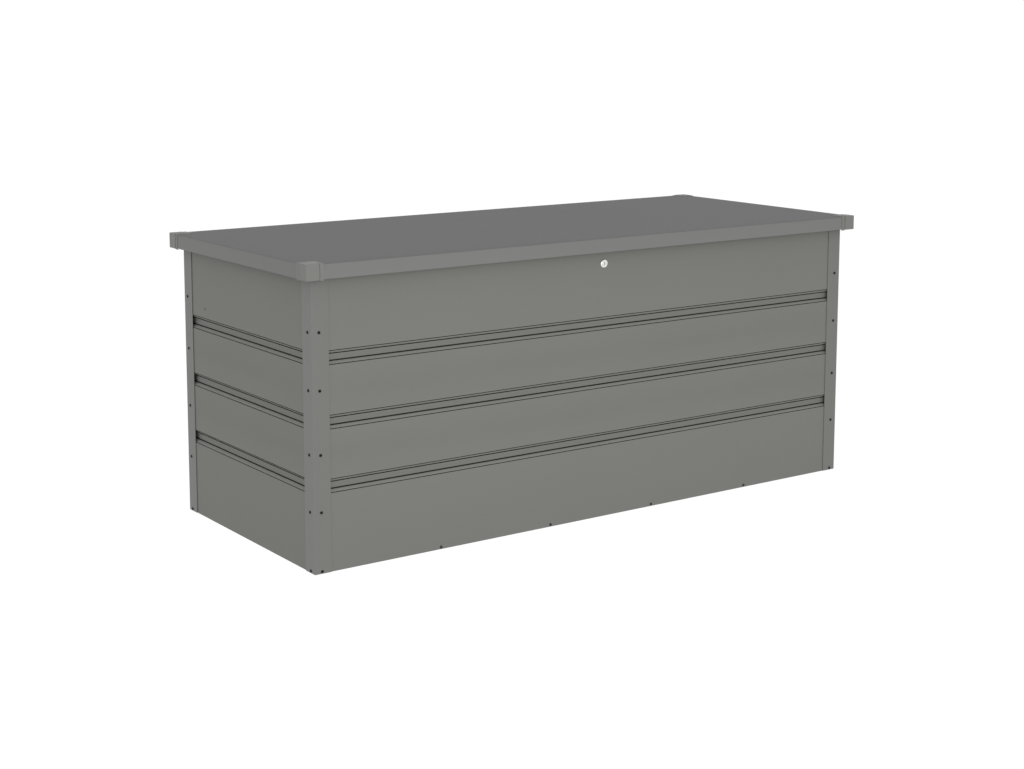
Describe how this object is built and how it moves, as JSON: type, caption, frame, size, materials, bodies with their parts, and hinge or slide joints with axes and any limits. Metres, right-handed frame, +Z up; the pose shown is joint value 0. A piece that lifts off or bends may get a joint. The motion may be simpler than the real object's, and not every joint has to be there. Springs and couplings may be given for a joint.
{
  "type": "deck storage box",
  "caption": "Long grey sheet-steel garden storage box with ribbed walls, corner posts and a flat skirted lid that hinges up at the back on gas struts.",
  "frame": {"origin": "middle of the footprint, on the ground", "axes": "+X along the length to the right seen from the front, -Y out of the front wall with the lock, +Z up"},
  "size_m": [1.65, 0.69, 0.6925],
  "materials": {
    "grey_powder_coat": "matte",
    "cap_plastic": "matte",
    "black_screw_steel": "satin",
    "zinc_plated_steel": "satin",
    "lock_chrome": "polished",
    "lock_core_steel": "satin",
    "bumper_rubber": "matte",
    "strut_black_paint": "semi-gloss",
    "rod_chrome": "polished"
  },
  "bodies": {
    "box": {"front_wall": "grey_powder_coat", "back_wall": "grey_powder_coat", "left_wall": "grey_powder_coat", "right_wall": "grey_powder_coat", "corner_post_front_left": "grey_powder_coat", "corner_post_front_right": "grey_powder_coat", "corner_post_back_left": "grey_powder_coat", "corner_post_back_right": "grey_powder_coat", "floor_pan_left": "grey_powder_coat", "floor_pan_right": "grey_powder_coat", "rim_rail_front": "grey_powder_coat", "rim_rail_back": "grey_powder_coat", "rim_rail_left": "grey_powder_coat", "rim_rail_right": "grey_powder_coat", "post_screws": "black_screw_steel", "foot_screws": "grey_powder_coat", "rim_screws": "black_screw_steel", "hinge_screws": "black_screw_steel", "hex_nuts": "zinc_plated_steel", "strut_foot_bolts": "grey_powder_coat", "hinge_pins": "zinc_plated_steel", "lid_bumpers": "bumper_rubber", "hinge_leaf_fixed_left": "zinc_plated_steel", "hinge_leaf_fixed_middle": "zinc_plated_steel", "hinge_leaf_fixed_right": "zinc_plated_steel", "strut_foot_plate_left": "grey_powder_coat", "strut_foot_plate_right": "grey_powder_coat", "strut_foot_stud_left": "zinc_plated_steel", "strut_foot_stud_right": "zinc_plated_steel", "lock_housing": "lock_chrome", "lock_nut": "lock_chrome"},
    "lid": {"lid_panel": "grey_powder_coat", "lid_stiffener_left": "grey_powder_coat", "lid_stiffener_middle": "grey_powder_coat", "lid_stiffener_right": "grey_powder_coat", "lid_cap_front_left": "cap_plastic", "lid_cap_front_right": "cap_plastic", "lid_cap_back_left": "cap_plastic", "lid_cap_back_right": "cap_plastic", "hinge_leaf_moving_left": "zinc_plated_steel", "hinge_leaf_moving_middle": "zinc_plated_steel", "hinge_leaf_moving_right": "zinc_plated_steel", "hinge_rivets": "zinc_plated_steel", "strut_lid_bracket_left": "grey_powder_coat", "strut_lid_bracket_right": "grey_powder_coat", "lid_strike": "zinc_plated_steel"},
    "lock_plug": {"lock_core": "lock_core_steel", "lock_cam": "zinc_plated_steel", "lock_cam_screw": "zinc_plated_steel"},
    "strut_rod_left": {"strut_rod_left": "rod_chrome", "strut_rod_eye_left": "zinc_plated_steel"},
    "strut_tube_left": {"strut_tube_left": "strut_black_paint", "strut_tube_eye_left": "zinc_plated_steel"},
    "strut_rod_right": {"strut_rod_right": "rod_chrome", "strut_rod_eye_right": "zinc_plated_steel"},
    "strut_tube_right": {"strut_tube_right": "strut_black_paint", "strut_tube_eye_right": "zinc_plated_steel"}
  },
  "joints": [
    {"name": "lid_hinge", "type": "hinge", "parent": "box", "child": "lid", "pos_m": [0, 0.3235, 0.648], "axis": [-1, 0, 0], "range_deg": [0, 75]},
    {"name": "lock_turn", "type": "hinge", "parent": "box", "child": "lock_plug", "pos_m": [0, -0.3, 0.6265], "axis": [0, 1, 0], "range_deg": [0, 90]},
    {"name": "strut_swing_left", "type": "hinge", "parent": "box", "child": "strut_rod_left", "pos_m": [-0.772, 0.21, 0.518], "axis": [-1, 0, 0], "range_deg": [0, 66.41]},
    {"name": "strut_slide_left", "type": "slide", "parent": "strut_rod_left", "child": "strut_tube_left", "axis": [0, -0.8973, 0.4413], "range_m": [0, 0.20009]},
    {"name": "strut_swing_right", "type": "hinge", "parent": "box", "child": "strut_rod_right", "pos_m": [0.772, 0.21, 0.518], "axis": [-1, 0, 0], "range_deg": [0, 66.41]},
    {"name": "strut_slide_right", "type": "slide", "parent": "strut_rod_right", "child": "strut_tube_right", "axis": [0, -0.8973, 0.4413], "range_m": [0, 0.20009]}
  ],
  "couplings": [
    {"joint": "strut_swing_left", "follows": "lid_hinge", "ratio": 0.8855},
    {"joint": "strut_slide_left", "follows": "lid_hinge", "m_per_rad": 0.15285},
    {"joint": "strut_swing_right", "follows": "lid_hinge", "ratio": 0.8855},
    {"joint": "strut_slide_right", "follows": "lid_hinge", "m_per_rad": 0.15285}
  ]
}
